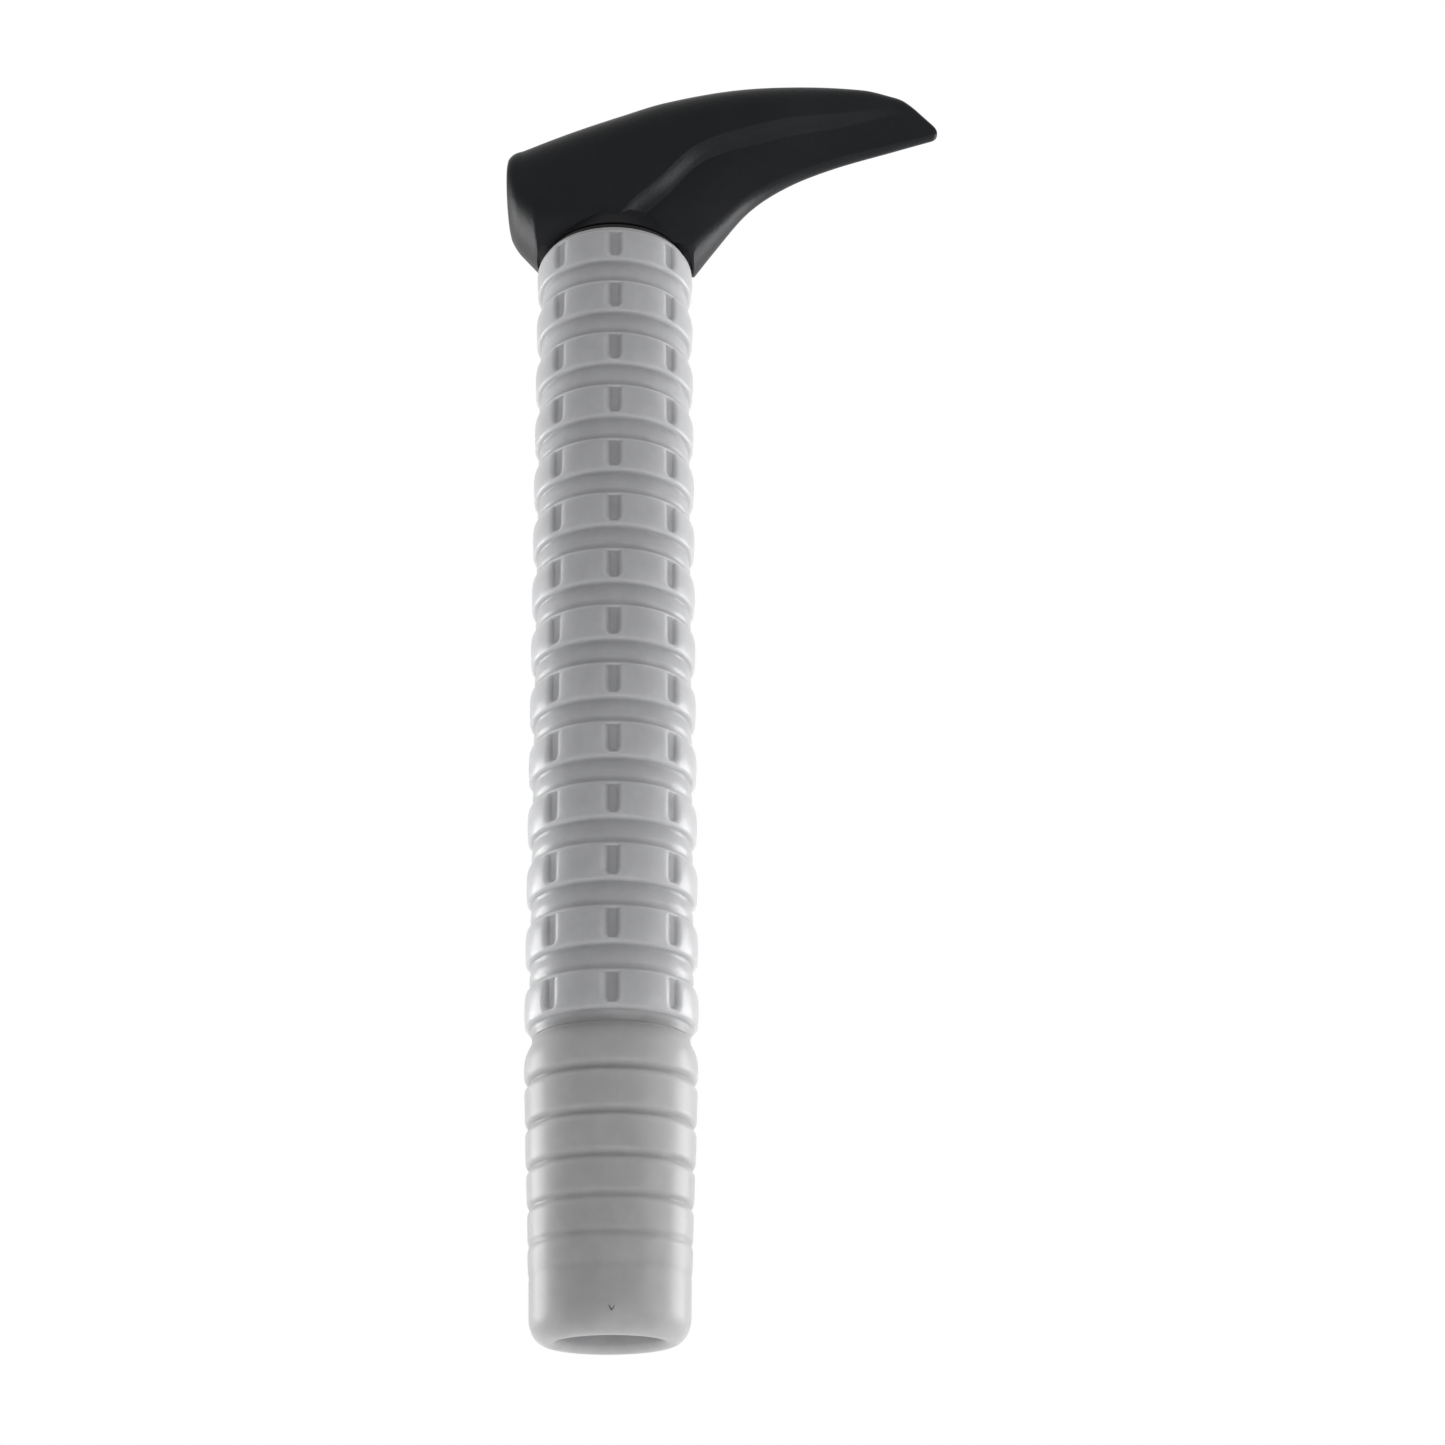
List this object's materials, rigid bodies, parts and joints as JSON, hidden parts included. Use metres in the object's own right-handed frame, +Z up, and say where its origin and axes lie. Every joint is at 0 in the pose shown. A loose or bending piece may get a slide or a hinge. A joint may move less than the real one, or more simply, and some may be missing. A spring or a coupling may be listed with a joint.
{
  "type": "ice axe",
  "caption": "Short hand-held ice axe with a black curved pick and poll head, a translucent grip of padded rings and a grooved pommel that screws off.",
  "frame": {"origin": "on the handle's axis, at the centre of the pommel's end ring", "axes": "+Z up the handle towards the head, +X towards the pick's tip, Y across the head's thickness"},
  "size_m": [0.0957, 0.0338, 0.2782],
  "materials": {
    "black_coated_steel": "satin black coating with a fine grain",
    "black_rubber": "matte",
    "tube_aluminium": "drawn and clear anodised",
    "bush_aluminium": "turned",
    "pin_steel": "ground",
    "insert_brass": "turned",
    "frosted_grip": "translucent frosted elastomer",
    "frosted_pommel": "translucent frosted plastic, a little denser than the grip",
    "grey_plastic": "moulded"
  },
  "bodies": {
    "tool": {"head_body": "black_coated_steel", "neck_gasket": "black_rubber", "core_tube": "tube_aluminium", "tang_pin_lower": "pin_steel", "tang_pin_upper": "pin_steel", "grip_sleeve": "frosted_grip", "sleeve_stop_ring": "pin_steel", "end_bush": "bush_aluminium", "bush_pin": "pin_steel"},
    "seal_carrier": {"pommel_seal": "black_rubber"},
    "pommel": {"pommel_cap": "frosted_pommel", "pommel_insert": "insert_brass", "end_plug": "grey_plastic"}
  },
  "joints": [
    {"name": "pommel_travel", "type": "slide", "parent": "tool", "child": "seal_carrier", "axis": [0, 0, -1], "range_m": [0, 0.012]},
    {"name": "pommel_turn", "type": "hinge", "parent": "seal_carrier", "child": "pommel", "pos_m": [0, 0, 0.03], "axis": [0, 0, -1], "range_deg": [0, 720]}
  ],
  "couplings": [
    {"joint": "pommel_travel", "follows": "pommel_turn", "m_per_rad": 0.00095493}
  ]
}
